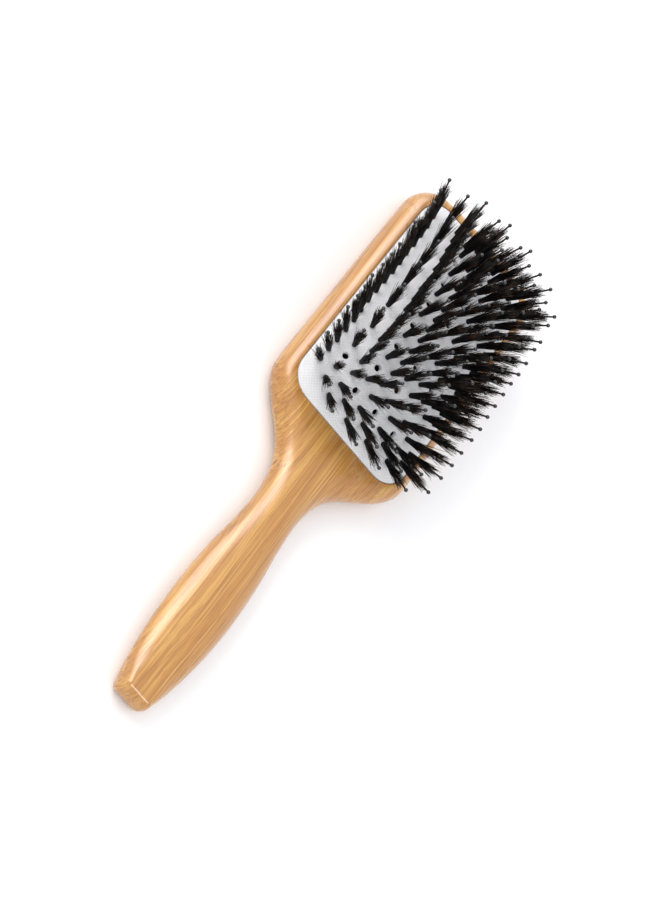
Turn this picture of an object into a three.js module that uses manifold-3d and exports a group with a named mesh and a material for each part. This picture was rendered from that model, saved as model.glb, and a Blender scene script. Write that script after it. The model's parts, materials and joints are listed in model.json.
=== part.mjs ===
// A paddle hairbrush of laminated bamboo: an air cushion of white rubber in a routed recess,
// and bristle tufts with a ball-tipped nylon pin in the middle of each.
// Millimetres, +Z up. The brush lies on its back along Y, with the handle at -Y and the bristles up.
// The origin is under the middle of the brush.
import * as THREE from "three";
import { mergeVertices } from "three/addons/utils/BufferGeometryUtils.js";
import Module from "manifold-3d";

// ---- Driving dimensions ----
const overallLength = 242; // handle end to far end of the head
const cushionWidth = 57; // the visible rubber, at its middle
const cushionLength = 100.6;
const cushionCornerRadius = 10;
const domeHeight = 12.5; // crown of the cushion above the wood
const domeFullnessAcross = 2.4; // higher is flatter on top and steeper at the edge
const domeFullnessAlong = 2.6;
const rubberThickness = 1.6;

const rimBeside = 5; // wood beside the cushion, at its middle
const rimBeyond = 6.7; // wood beyond the cushion's far end
const floorThickness = 4.5; // wood under the recess
const recessDepth = 8.5;
const sideTaper = 0.00065; // share of the width lost for each millimetre toward the far end
const headEdgeRound = 5; // how far in the rounded edge of the head reaches
const farCornerRadius = 13;
const farEndBow = 1.4; // how far the far end swells past its corners
const shoulderInset = 10.3; // the head keeps its width to here, measured from the cushion's near end

const neckWidth = 19;
const neckBeyond = 35.7; // cushion's near end to the slimmest place
const gripWidth = 26;
const gripBeyondNeck = 52; // slimmest place to the widest place of the grip
const gripThickness = 14.5;
const handleEndWidth = 15;
const handleEndThickness = 11;
const handleEndCorner = 3;
const handleEndRound = 2.4; // rounding of the flat end face
const handleEndBlend = 16; // length over which that rounding grows into the grip's
const handleRoundShare = 0.8; // how much of the handle's half width its rounded edge takes

const grooveDepth = 1.8; // undercut that holds the cushion's bead
const grooveHeight = 2.4;
const grooveBelowFace = 1.2;
const fitGap = 0.3; // clearance between pieces that touch

const tuftColumns = 10;
const tuftRows = 17; // in the odd columns; the even columns stand half a row off, with one fewer
const marginAcross = 4.2; // cushion's side to the middle of the outermost column
const marginAlong = 4.7; // cushion's end to the middle of the last row
const edgeRowShrink = 0.08; // how much closer the rows stand in the outermost columns
const ringNames = ["outer", "second", "third", "fourth", "centre"];
const ringsWithEnds = 3; // these run all the way round; the inner ones are columns only
const leanAcross = [0.35, 0.65]; // lean of a tuft at the cushion's side: even part, and part that grows to the edge
const leanAlong = [0.35, 0.45];

const pinLength = 17.6; // above the rubber
const pinWidth = 0.8;
const ballDiameter = 1.5;
const bristleLength = 13; // above the rubber
const tuftRootWidth = 1.7; // at the strip behind the rubber
const tuftTipWidth = 3.6;
const ventWidth = 2;

const stripWidth = 2.6; // the flat strip behind the rubber that a run of tufts is drawn into
const stripThickness = 1;
const stripPastTuft = 1.7; // how far a strip runs on past its last tuft
const stripBelowRubber = 0.9;
const pinStripBelowStrip = 0.5;

// ---- Places worked out from them ----
const farEndY = overallLength / 2;
const handleEndY = -overallLength / 2;
const cushionY = farEndY - rimBeyond - cushionLength / 2;
const shoulderY = cushionY - cushionLength / 2 + shoulderInset;
const neckY = cushionY - cushionLength / 2 - neckBeyond;
const gripY = neckY - gripBeyondNeck;

const headThickness = floorThickness + recessDepth;
const faceZ = headThickness;
const grooveTopZ = faceZ - grooveBelowFace;
const grooveFloorZ = grooveTopZ - grooveHeight;
const columnPitch = (cushionWidth - 2 * marginAcross) / (tuftColumns - 1);
const rowPitch = (cushionLength - 2 * marginAlong) / (tuftRows - 1);

const bamboo = new THREE.MeshStandardMaterial({ color: 0xd9a05a, roughness: 0.3, metalness: 0 });
const whiteRubber = new THREE.MeshStandardMaterial({ color: 0xe9e7e4, roughness: 0.75, metalness: 0 });
const boarBristle = new THREE.MeshStandardMaterial({ color: 0x17110e, roughness: 0.5, metalness: 0 });
const blackNylon = new THREE.MeshStandardMaterial({ color: 0x0c0c0d, roughness: 0.35, metalness: 0 });

const wasm = await Module();
wasm.setup();

// ---- Small tools ----
function toSolid(geometry) {
  const bare = geometry.clone();
  bare.deleteAttribute("normal");
  bare.deleteAttribute("uv");
  const merged = mergeVertices(bare, 1e-4);
  return new wasm.Manifold(
    new wasm.Mesh({
      numProp: 3,
      vertProperties: new Float32Array(merged.attributes.position.array),
      triVerts: new Uint32Array(merged.index.array),
    }),
  );
}

function toGeometry(solid) {
  const mesh = solid.getMesh();
  const geometry = new THREE.BufferGeometry();
  geometry.setAttribute("position", new THREE.BufferAttribute(new Float32Array(mesh.vertProperties), 3));
  geometry.setIndex(new THREE.BufferAttribute(new Uint32Array(mesh.triVerts), 1));
  geometry.computeVertexNormals();
  return geometry;
}

function joinAll(solids) {
  return solids.reduce((whole, next) => whole.add(next));
}

// A closed skin through rings of equally many points, each ring outside or above the one before.
// The first and last rings are closed by a flat cap.
function skinThroughRings(rings) {
  const count = rings[0].length;
  const points = rings.flat();
  const index = [];
  for (let ring = 0; ring < rings.length - 1; ring++) {
    for (let i = 0; i < count; i++) {
      const a = ring * count + i;
      const b = ring * count + ((i + 1) % count);
      index.push(a, b, b + count, a, b + count, a + count);
    }
  }
  const capOf = (ring) => THREE.ShapeUtils.triangulateShape(ring.map((p) => new THREE.Vector2(p.x, p.y)), []);
  const last = (rings.length - 1) * count;
  capOf(rings[0]).forEach(([a, b, c]) => index.push(a, c, b));
  capOf(rings[rings.length - 1]).forEach(([a, b, c]) => index.push(last + a, last + b, last + c));
  const geometry = new THREE.BufferGeometry().setFromPoints(points);
  geometry.setIndex(index);
  return geometry;
}

// Width factor that narrows the head and the cushion toward the far end.
function taperAt(y) {
  return 1 - sideTaper * y;
}

// The cushion's outline seen from above, grown outward by some offset, turning counter-clockwise.
function cushionOutline(offset) {
  const halfWidth = cushionWidth / 2 + offset;
  const halfLength = cushionLength / 2 + offset;
  const radius = cushionCornerRadius + offset;
  const cornerPieces = 2;
  const sidePieces = [2, 3]; // across an end, along a side
  const points = [];
  const corners = [
    [1, -1, -90],
    [1, 1, 0],
    [-1, 1, 90],
    [-1, -1, 180],
  ];
  corners.forEach(([sx, sy, start], corner) => {
    for (let k = 0; k <= cornerPieces; k++) {
      const angle = THREE.MathUtils.degToRad(start + (90 * k) / cornerPieces);
      points.push(
        new THREE.Vector2(
          sx * (halfWidth - radius) + radius * Math.cos(angle),
          sy * (halfLength - radius) + radius * Math.sin(angle),
        ),
      );
    }
    const [nx, ny, nextStart] = corners[(corner + 1) % 4];
    const next = THREE.MathUtils.degToRad(nextStart);
    const from = points[points.length - 1].clone();
    const to = new THREE.Vector2(
      nx * (halfWidth - radius) + radius * Math.cos(next),
      ny * (halfLength - radius) + radius * Math.sin(next),
    );
    const pieces = sidePieces[(corner + 1) % 2];
    for (let k = 1; k < pieces; k++) {
      points.push(from.clone().lerp(to, k / pieces));
    }
  });
  return points.map((p) => new THREE.Vector2(p.x * taperAt(p.y), p.y));
}

// Height of the cushion's outer face above the wood at a place measured from the cushion's centre.
function domeAt(x, y) {
  const across = Math.min(Math.abs(x) / ((cushionWidth / 2) * taperAt(y)), 1);
  const along = Math.min(Math.abs(y) / (cushionLength / 2), 1);
  return domeHeight * (1 - across ** domeFullnessAcross) * (1 - along ** domeFullnessAlong);
}

function prismBetween(outline, low, high) {
  const at = (z) => outline.map((p) => new THREE.Vector3(p.x, p.y + cushionY, z));
  return skinThroughRings([at(low), at(high)]);
}

// ---- The bamboo paddle ----
// One side of the outline, from the middle of the handle's end to the middle of the far end.
function paddleSide() {
  const headHalfAt = (y) => (cushionWidth / 2) * taperAt(y - cushionY) + rimBeside;
  const shoulderHalf = headHalfAt(shoulderY);
  const gripHalf = gripWidth / 2;
  const neckHalf = neckWidth / 2;
  const endHalf = handleEndWidth / 2;
  const endY = handleEndY + handleEndCorner;
  const between = (fromY, toY, share, half) => new THREE.Vector2(half, THREE.MathUtils.lerp(fromY, toY, share));
  const shoulder = new THREE.Vector2(shoulderHalf, shoulderY);
  const corner = new THREE.Path().absarc(endHalf - handleEndCorner, endY, handleEndCorner, -Math.PI / 2, 0, false);
  const handle = new THREE.SplineCurve([
    new THREE.Vector2(endHalf, endY),
    between(endY, gripY, 0.2, gripHalf * 0.76),
    between(endY, gripY, 0.57, gripHalf * 0.932),
    new THREE.Vector2(gripHalf, gripY),
    between(gripY, neckY, 0.385, gripHalf * 0.94),
    between(gripY, neckY, 0.71, neckHalf * 1.08),
    new THREE.Vector2(neckHalf, neckY),
    between(neckY, shoulderY, 0.26, neckHalf * 1.24),
    between(neckY, shoulderY, 0.426, shoulderHalf * 0.48),
    between(neckY, shoulderY, 0.565, shoulderHalf * 0.67),
    between(neckY, shoulderY, 0.707, shoulderHalf * 0.86),
    between(neckY, shoulderY, 0.848, shoulderHalf * 0.976),
    shoulder,
  ]).getPoints(24);
  const cornerY = farEndY - farEndBow - farCornerRadius;
  const farSide = new THREE.Vector2(headHalfAt(cornerY), cornerY);
  const sides = [0.33, 0.66].map((share) => shoulder.clone().lerp(farSide, share));
  const farCorner = new THREE.EllipseCurve(
    farSide.x - farCornerRadius, cornerY, farCornerRadius, farCornerRadius, 0, Math.PI / 2.15,
  ).getPoints(6);
  const bowStart = farCorner[farCorner.length - 1];
  const bow = new THREE.QuadraticBezierCurve(
    bowStart, new THREE.Vector2(bowStart.x * 0.6, farEndY), new THREE.Vector2(0, farEndY),
  ).getPoints(3);
  return [...corner.getPoints(3), ...handle.slice(1), ...sides, ...farCorner, ...bow.slice(1)];
}

function paddleOutline() {
  const right = paddleSide();
  const left = right
    .slice(0, -1)
    .reverse()
    .map((p) => new THREE.Vector2(-p.x, p.y));
  return [...right, ...left];
}

// 0 on the head, 1 on the handle, changing smoothly over the shoulders.
function handleShare(y) {
  return 1 - THREE.MathUtils.smoothstep(y, neckY, cushionY - cushionLength / 2);
}

// Thickness along the brush: the head's, swelling to the grip's, and slimmer again at the end.
function thicknessAt(y) {
  if (y < gripY) {
    const share = THREE.MathUtils.smoothstep(y, handleEndY, gripY);
    return THREE.MathUtils.lerp(handleEndThickness, gripThickness, share);
  }
  const share = THREE.MathUtils.smoothstep(y, gripY, cushionY - cushionLength / 2);
  return THREE.MathUtils.lerp(gripThickness, headThickness, share);
}

function edgeRoundAt(point) {
  const nearEnd = THREE.MathUtils.smoothstep(point.y, handleEndY + handleEndCorner, handleEndY + handleEndBlend);
  const onHandle = Math.abs(point.x) * handleRoundShare;
  const inward = THREE.MathUtils.lerp(headEdgeRound, onHandle, handleShare(point.y));
  return THREE.MathUtils.lerp(handleEndRound, inward, nearEnd);
}

function paddleSolid() {
  const outline = paddleOutline();
  const count = outline.length;
  const inward = outline.map((_, i) => {
    const along = outline[(i + 1) % count].clone().sub(outline[(i + count - 1) % count]).normalize();
    return new THREE.Vector2(-along.y, along.x);
  });
  const ringAt = (degrees) => {
    const angle = THREE.MathUtils.degToRad(degrees);
    return outline.map((point, i) => {
      const depth = edgeRoundAt(point) * (1 - Math.cos(angle));
      const half = thicknessAt(point.y) / 2;
      return new THREE.Vector3(
        point.x + inward[i].x * depth,
        point.y + inward[i].y * depth,
        half + half * Math.sin(angle),
      );
    });
  };
  const rings = [-90, -66, -36, 0, 36, 66, 90].map(ringAt);
  const blank = toSolid(skinThroughRings(rings));
  const recess = toSolid(prismBetween(cushionOutline(fitGap), floorThickness, faceZ + recessDepth));
  const groove = toSolid(prismBetween(cushionOutline(grooveDepth), grooveFloorZ, grooveTopZ));
  return blank.subtract(recess).subtract(groove);
}

// ---- The tuft pattern ----
// Each place has its column, its row from the middle, and whether it holds a tuft or a vent hole.
function tuftPlaces() {
  const places = [];
  const halfRows = (tuftRows - 1) / 2;
  for (let column = 1; column <= tuftColumns; column++) {
    const odd = column % 2 === 1;
    const reach = odd ? halfRows : halfRows - 0.5;
    const fromSide = Math.min(column - 1, tuftColumns - column);
    for (let row = -reach; row <= reach; row++) {
      if (column === 1 && row === -reach) continue; // no room in the rounded corner
      const fromEnd = Math.floor(halfRows - Math.abs(row));
      const endRing = fromEnd < ringsWithEnds ? fromEnd : ringNames.length - 1;
      const ring = Math.min(fromSide, endRing);
      const step = row + reach;
      const vent = !odd && ring > 0 && step % 2 === (column === 2 ? 0 : 1);
      const lengthwise = column <= tuftColumns / 2 ? "left" : "right";
      const crosswise = row < 0 ? "near" : "far";
      const side = fromSide <= endRing ? lengthwise : crosswise;
      const edgeShare = (column - (tuftColumns + 1) / 2) / ((tuftColumns - 1) / 2);
      const y = row * rowPitch * (1 - edgeRowShrink * edgeShare ** 2);
      const x = (column - (tuftColumns + 1) / 2) * columnPitch * taperAt(y);
      places.push({ column, row, ring, side, vent, x, y });
    }
  }
  return places;
}

// Direction of a tuft: square to the crown in the middle, fanned outward toward the cushion's edge.
function leanAt(x, y) {
  const across = x / (cushionWidth / 2);
  const along = y / (cushionLength / 2);
  return new THREE.Vector3(
    leanAcross[0] * across + leanAcross[1] * across ** 3,
    leanAlong[0] * along + leanAlong[1] * along ** 3,
    1,
  ).normalize();
}

function footAt(place) {
  return new THREE.Vector3(place.x, place.y + cushionY, faceZ + domeAt(place.x, place.y));
}

// A stalk of flat sides along a direction. Stations are [distance from the foot, radius at the corners].
function stalk(foot, direction, stations, sides) {
  const profile = stations.map(([distance, radius]) => new THREE.Vector2(radius, distance));
  const [end, endRadius] = stations.at(-1);
  if (endRadius > 0) profile.push(new THREE.Vector2(0, end));
  const geometry = new THREE.LatheGeometry([new THREE.Vector2(0, stations[0][0]), ...profile], sides);
  geometry.rotateX(Math.PI / 2);
  geometry.rotateZ(Math.PI / 4);
  geometry.applyQuaternion(new THREE.Quaternion().setFromUnitVectors(new THREE.Vector3(0, 0, 1), direction));
  geometry.translate(foot.x, foot.y, foot.z);
  return toSolid(geometry);
}

// A flat strip through the given points, in order, square to the leans given there.
// It bends halfway between points, so each point stands on a flat.
function stripUnder(points, leans) {
  const last = points.length;
  const bends = [];
  const ups = [leans[0]];
  for (let i = 1; i < last; i++) {
    bends.push(points[i - 1].clone().lerp(points[i], 0.5));
    ups.push(leans[i - 1].clone().lerp(leans[i], 0.5));
  }
  const past = (from, to) => to.clone().addScaledVector(to.clone().sub(from).normalize(), stripPastTuft);
  bends.unshift(past(bends[0], points[0]));
  bends.push(past(bends.at(-1), points.at(-1)));
  ups.push(leans.at(-1));
  const rings = bends.map((bend, i) => {
    const run = bends[Math.min(i + 1, last)].clone().sub(bends[Math.max(i - 1, 0)]).normalize();
    const side = new THREE.Vector3().crossVectors(ups[i], run).normalize().multiplyScalar(stripWidth / 2);
    const up = new THREE.Vector3().crossVectors(run, side).normalize().multiplyScalar(stripThickness / 2);
    return [
      bend.clone().add(side).sub(up),
      bend.clone().sub(side).sub(up),
      bend.clone().sub(side).add(up),
      bend.clone().add(side).add(up),
    ];
  });
  const index = [];
  for (let ring = 0; ring < last; ring++) {
    for (let k = 0; k < 4; k++) {
      const a = ring * 4 + k;
      const b = ring * 4 + ((k + 1) % 4);
      index.push(a, b + 4, b, a, a + 4, b + 4);
    }
  }
  index.push(0, 1, 2, 0, 2, 3);
  const end = last * 4;
  index.push(end, end + 2, end + 1, end, end + 3, end + 2);
  const geometry = new THREE.BufferGeometry().setFromPoints(rings.flat());
  geometry.setIndex(index);
  return toSolid(geometry);
}

const bristleStripDepth = rubberThickness + stripBelowRubber + stripThickness / 2;
const pinStripDepth = bristleStripDepth + stripThickness + pinStripBelowStrip;

const squareRadius = (acrossFlats) => acrossFlats / Math.SQRT2;

// Width of a tuft at some distance above the rubber, or below it where that is negative.
function tuftWidthAt(distance) {
  const share = (distance + bristleStripDepth) / (bristleLength + bristleStripDepth);
  return THREE.MathUtils.lerp(tuftRootWidth, tuftTipWidth, share);
}

function stripBehind(run, depth) {
  const leans = run.map((place) => leanAt(place.x, place.y));
  return stripUnder(run.map((place, i) => footAt(place).addScaledVector(leans[i], -depth)), leans);
}

function standOn(run, stations, sides) {
  return joinAll(run.map((place) => stalk(footAt(place), leanAt(place.x, place.y), stations, sides)));
}

// One run of tufts: every tuft stands on the strip behind the rubber and has a bore for its pin.
function bristleRun(run) {
  const tuft = [
    [-bristleStripDepth, squareRadius(tuftRootWidth)],
    [bristleLength, squareRadius(tuftTipWidth)],
  ];
  const boreRadius = squareRadius(pinWidth + 2 * fitGap);
  const bore = [
    [-bristleStripDepth - stripThickness, boreRadius],
    [bristleLength + 1, boreRadius],
  ];
  const tufts = standOn(run, tuft, 4);
  const bores = standOn(run, bore, 4);
  return stripBehind(run, bristleStripDepth).add(tufts).subtract(bores);
}

// The nylon pins of the same run, moulded on a strip of their own under the bristles' strip.
function pinRun(run) {
  const pin = [
    [-pinStripDepth, pinWidth / 2],
    [pinLength - ballDiameter, pinWidth / 2],
    [pinLength - ballDiameter / 2, ballDiameter / 2],
    [pinLength, 0],
  ];
  return stripBehind(run, pinStripDepth).add(standOn(run, pin, 3));
}

// ---- The rubber cushion ----
function cushionSolid(places) {
  const bead = grooveDepth - fitGap * 2;
  const outlineAt = (offset, z) =>
    cushionOutline(offset).map((p) => new THREE.Vector3(p.x, p.y + cushionY, z));
  const domeRing = (share, inset, drop) =>
    cushionOutline(-inset).map(
      (p) => new THREE.Vector3(p.x * share, p.y * share + cushionY, faceZ + domeAt(p.x * share, p.y * share) - drop),
    );
  const shares = [0.92, 0.7, 0.44, 0.18];
  const rings = [
    ...shares.toReversed().map((share) => domeRing(share, rubberThickness, rubberThickness)),
    outlineAt(-rubberThickness, grooveTopZ - fitGap),
    outlineAt(-rubberThickness, grooveFloorZ + fitGap),
    outlineAt(bead, grooveFloorZ + fitGap),
    outlineAt(bead, grooveTopZ - fitGap),
    outlineAt(0, grooveTopZ - fitGap),
    outlineAt(0, faceZ),
    ...shares.map((share) => domeRing(share, 0, 0)),
  ];
  const shell = toSolid(skinThroughRings(rings));
  const through = rubberThickness * 2.2;
  const holes = places.map((place) => {
    const width = place.vent ? ventWidth : tuftWidthAt(0) + 2 * fitGap;
    const stations = [
      [-through, squareRadius(width)],
      [through, squareRadius(width)],
    ];
    return stalk(footAt(place), leanAt(place.x, place.y), stations, 4);
  });
  return shell.subtract(joinAll(holes));
}

// ---- Putting the brush together ----
const brush = new THREE.Group();

function addPiece(name, solid, material) {
  const piece = new THREE.Mesh(toGeometry(solid), material);
  piece.name = name;
  brush.add(piece);
}

const places = tuftPlaces();
addPiece("bamboo_paddle", paddleSolid(), bamboo);
addPiece("air_cushion", cushionSolid(places), whiteRubber);

ringNames.forEach((ringName, ring) => {
  for (const side of ["left", "right", "near", "far"]) {
    const run = places
      .filter((place) => !place.vent && place.ring === ring && place.side === side)
      .sort((a, b) => (side === "left" || side === "right" ? a.y - b.y : a.x - b.x));
    if (run.length === 0) continue; // the inner rings have no ends
    addPiece(`bristles_${ringName}_${side}`, bristleRun(run), boarBristle);
    addPiece(`pins_${ringName}_${side}`, pinRun(run), blackNylon);
  }
});

export default brush;
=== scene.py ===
# Paddle hairbrush of lacquered bamboo: white air cushion, boar bristle tufts and ball-tipped nylon pins.
# Metres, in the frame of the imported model: handle at -Y, bristles up.
import json
import math

import bmesh
import bpy
import numpy as np
from mathutils import Matrix, Vector


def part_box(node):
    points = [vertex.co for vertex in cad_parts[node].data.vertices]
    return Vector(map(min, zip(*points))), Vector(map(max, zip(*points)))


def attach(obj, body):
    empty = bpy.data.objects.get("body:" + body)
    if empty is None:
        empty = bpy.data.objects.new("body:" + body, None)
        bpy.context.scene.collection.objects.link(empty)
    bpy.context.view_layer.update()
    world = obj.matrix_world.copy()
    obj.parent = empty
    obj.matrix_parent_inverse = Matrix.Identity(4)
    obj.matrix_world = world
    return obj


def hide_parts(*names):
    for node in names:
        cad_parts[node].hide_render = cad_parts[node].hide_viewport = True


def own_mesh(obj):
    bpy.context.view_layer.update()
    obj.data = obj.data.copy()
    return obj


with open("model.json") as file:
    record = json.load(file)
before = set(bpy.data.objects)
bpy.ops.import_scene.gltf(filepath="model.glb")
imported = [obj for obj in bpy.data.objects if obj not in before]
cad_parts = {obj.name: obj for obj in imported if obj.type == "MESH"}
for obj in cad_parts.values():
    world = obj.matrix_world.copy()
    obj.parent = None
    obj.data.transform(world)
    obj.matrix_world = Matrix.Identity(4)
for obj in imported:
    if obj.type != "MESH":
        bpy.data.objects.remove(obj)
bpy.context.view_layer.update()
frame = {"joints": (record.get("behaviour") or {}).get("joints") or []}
mm = 0.001

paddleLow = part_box("bamboo_paddle")[0]
cushionLow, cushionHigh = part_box("air_cushion")
pressJoint = next(j for j in frame["joints"] if j.get("deforming_nodes"))
faceZ = pressJoint["deforming_nodes"][0]["fixed_end_z_m"]  # the wood's upper face
cushionY = (cushionLow.y + cushionHigh.y) / 2
handleEndY = paddleLow.y

# camera
cameraView = {
    "aimFromCushion": (0.0100, -0.0412, -0.0243),  # from the cushion's middle on the wood's face
    "distance": 2.609,
    "azimuth": -120.78,  # degrees, where the camera stands seen from above
    "elevation": 51.93,
    "roll": 74.49,
    "lens": 289.1,
}


def addCamera(view):
    aim = Vector((0, cushionY, faceZ)) + Vector(view["aimFromCushion"])
    azimuth = math.radians(view["azimuth"])
    elevation = math.radians(view["elevation"])
    back = Vector((
        math.cos(elevation) * math.cos(azimuth),
        math.cos(elevation) * math.sin(azimuth),
        math.sin(elevation),
    ))
    level = Vector((0, 0, 1)).cross(back).normalized()
    upright = Matrix((level, back.cross(level), back)).transposed()
    data = bpy.data.cameras.new("studioCamera")
    data.lens = view["lens"]
    data.clip_end = 20
    camera = bpy.data.objects.new("studioCamera", data)
    turned = upright @ Matrix.Rotation(math.radians(view["roll"]), 3, "Z")
    camera.matrix_world = Matrix.Translation(aim + back * view["distance"]) @ turned.to_4x4()
    bpy.context.scene.collection.objects.link(camera)
    bpy.context.scene.camera = camera


addCamera(cameraView)
print("camera placed")

# studio light and floor
studio = {
    "worldStrength": 1.16,
    "worldColour": (0.96, 0.97, 1.0, 1),
    "lampColour": (1.0, 0.955, 0.95),
    "floorSize": 8.0,
    "floorTone": 0.96,
    "floorGap": 0.0002,  # keeps the floor clear of the flat back
    "keyBox": {"from": (-0.75, 0.30, 0.62), "distance": 1.5, "size": (0.6, 1.2), "watts": 8},
    # these two only make highlights on the lacquer
    "sideBox": {
        "from": (-0.70, 0.42, 0.53), "distance": 1.5, "size": (1.3, 2.2), "watts": 36, "sheenOnly": True,
    },
    "frontBox": {
        "from": (0.30, -0.60, 0.74), "distance": 1.8, "size": (0.5, 0.5), "watts": 10, "sheenOnly": True,
    },
}


def addSoftbox(name, values, colour):
    data = bpy.data.lights.new(name, "AREA")
    data.shape = "RECTANGLE"
    data.size, data.size_y = values["size"]
    data.energy = values["watts"]
    data.color = colour
    light = bpy.data.objects.new(name, data)
    away = Vector(values["from"]).normalized()
    across = Vector((0, 1, 0)).cross(away).normalized()  # its long side lies along the brush
    turned = Matrix((across, away.cross(across), away)).transposed()
    light.matrix_world = Matrix.Translation(away * values["distance"]) @ turned.to_4x4()
    light.visible_diffuse = not values.get("sheenOnly", False)
    bpy.context.scene.collection.objects.link(light)


def addStudio(values):
    world = bpy.data.worlds.new("studioWorld")
    world.use_nodes = True
    background = world.node_tree.nodes["Background"]
    background.inputs["Color"].default_value = values["worldColour"]
    background.inputs["Strength"].default_value = values["worldStrength"]
    bpy.context.scene.world = world
    for name in ("keyBox", "sideBox", "frontBox"):
        addSoftbox(name, values[name], values["lampColour"])
    half = values["floorSize"] / 2
    low = -values["floorGap"]
    corners = [(-half, -half, low), (half, -half, low), (half, half, low), (-half, half, low)]
    floor = meshObject("studioFloor", corners, [(0, 1, 2, 3)])
    paper = bpy.data.materials.new("palePaper")
    paper.use_nodes = True
    shader = paper.node_tree.nodes["Principled BSDF"]
    shader.inputs["Base Color"].default_value = (values["floorTone"],) * 3 + (1,)
    shader.inputs["Roughness"].default_value = 0.9
    shader.inputs["Specular IOR Level"].default_value = 0.0
    floor.data.materials.append(paper)


# mesh tools
cutWeld = 2e-6  # metres: joins the near-double points that a rounding or a cut leaves


def meshObject(name, points, faces, smooth=False):
    mesh = bpy.data.meshes.new(name)
    mesh.from_pydata([tuple(p) for p in points], [], faces)
    mesh.validate()
    if smooth:
        mesh.shade_smooth()
    piece = bpy.data.objects.new(name, mesh)
    bpy.context.scene.collection.objects.link(piece)
    return piece


def facesOut(piece, weld=1e-7):
    shape = bmesh.new()
    shape.from_mesh(piece.data)
    bmesh.ops.remove_doubles(shape, verts=shape.verts, dist=weld)
    bmesh.ops.dissolve_degenerate(shape, edges=shape.edges, dist=weld)
    bmesh.ops.recalc_face_normals(shape, faces=shape.faces)
    shape.to_mesh(piece.data)
    shape.free()


def cutAway(piece, cutter):
    cut = piece.modifiers.new("cut", "BOOLEAN")
    cut.operation = "DIFFERENCE"
    cut.solver = "EXACT"
    cut.object = cutter
    bpy.context.view_layer.update()
    evaluated = piece.evaluated_get(bpy.context.evaluated_depsgraph_get())
    result = bpy.data.meshes.new_from_object(evaluated)
    piece.modifiers.clear()
    piece.data = result
    bpy.data.objects.remove(cutter)


def smoothBelow(piece, degrees):
    piece.data.shade_smooth()
    piece.data.set_sharp_from_angle(angle=math.radians(degrees))


def ringFaces(rings, count, closed=True):
    faces = []
    last = count if closed else count - 1
    for ring in range(rings - 1):
        for i in range(last):
            a = ring * count + i
            b = ring * count + (i + 1) % count
            faces.append((a, b, b + count, a + count))
    return faces


def smoothstep(value, low, high):
    share = np.clip((value - low) / (high - low), 0, 1)
    return share * share * (3 - 2 * share)


def mix(a, b, share):
    return a + (b - a) * share


# shader tools
def setSockets(tree, node, values):
    for name, value in values.items():
        if isinstance(value, bpy.types.NodeSocket):
            tree.links.new(value, node.inputs[name])
        else:
            node.inputs[name].default_value = value


def addNode(tree, kind, values=None, **settings):
    node = tree.nodes.new(kind)
    for name, value in settings.items():
        setattr(node, name, value)
    setSockets(tree, node, values or {})
    return node


def calculate(tree, operation, a, b=0.0, clamp=False):
    return addNode(tree, "ShaderNodeMath", {0: a, 1: b}, operation=operation, use_clamp=clamp).outputs[0]


def ramp(tree, value, low, high, toLow=0.0, toHigh=1.0):
    values = {"Value": value, "From Min": low, "From Max": high, "To Min": toLow, "To Max": toHigh}
    return addNode(tree, "ShaderNodeMapRange", values, interpolation_type="SMOOTHSTEP").outputs["Result"]


def blendColours(tree, share, a, b, how="MIX"):
    node = addNode(tree, "ShaderNodeMix", data_type="RGBA", blend_type=how)
    setSockets(tree, node, {0: share, 6: a, 7: b})  # by number, as a Mix node has several sockets named alike
    return node.outputs[2]


def startGroup(name, inputs, outputs):
    tree = bpy.data.node_groups.new(name, "ShaderNodeTree")
    for label, kind, value in inputs:
        socket = tree.interface.new_socket(label, in_out="INPUT", socket_type=kind)
        if value is not None:
            socket.default_value = value
    for label, kind in outputs:
        tree.interface.new_socket(label, in_out="OUTPUT", socket_type=kind)
    given = tree.nodes.new("NodeGroupInput").outputs
    result = tree.nodes.new("NodeGroupOutput").inputs
    return tree, given, result


def useGroup(tree, group, values):
    node = tree.nodes.new("ShaderNodeGroup")
    node.node_tree = group
    setSockets(tree, node, values)
    return node.outputs


def stretched(tree, point, scale):
    return addNode(tree, "ShaderNodeVectorMath", {0: point, 1: scale}, operation="MULTIPLY").outputs["Vector"]


def noise(tree, point, detail=2.0, roughness=0.5):
    values = {"Vector": point, "Scale": 1.0, "Detail": detail, "Roughness": roughness}
    return addNode(tree, "ShaderNodeTexNoise", values).outputs["Fac"]


def fibreLinesGroup():
    # fine lines that run along Y: how many to the metre across, and how short they are along
    tree, given, result = startGroup(
        "fibreLines",
        [("Point", "NodeSocketVector", None), ("Across", "NodeSocketFloat", 2400.0),
         ("Along", "NodeSocketFloat", 110.0), ("Sparseness", "NodeSocketFloat", 0.6)],
        [("Lines", "NodeSocketFloat"), ("Height", "NodeSocketFloat")],
    )
    depth = calculate(tree, "MULTIPLY", given["Across"], 0.22)
    scale = addNode(tree, "ShaderNodeCombineXYZ",
                    {"X": given["Across"], "Y": given["Along"], "Z": depth}).outputs[0]
    drawn = noise(tree, stretched(tree, given["Point"], scale), detail=3.0, roughness=0.6)
    high = calculate(tree, "ADD", given["Sparseness"], 0.1)
    tree.links.new(ramp(tree, drawn, given["Sparseness"], high), result["Lines"])
    tree.links.new(drawn, result["Height"])
    return tree


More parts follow.
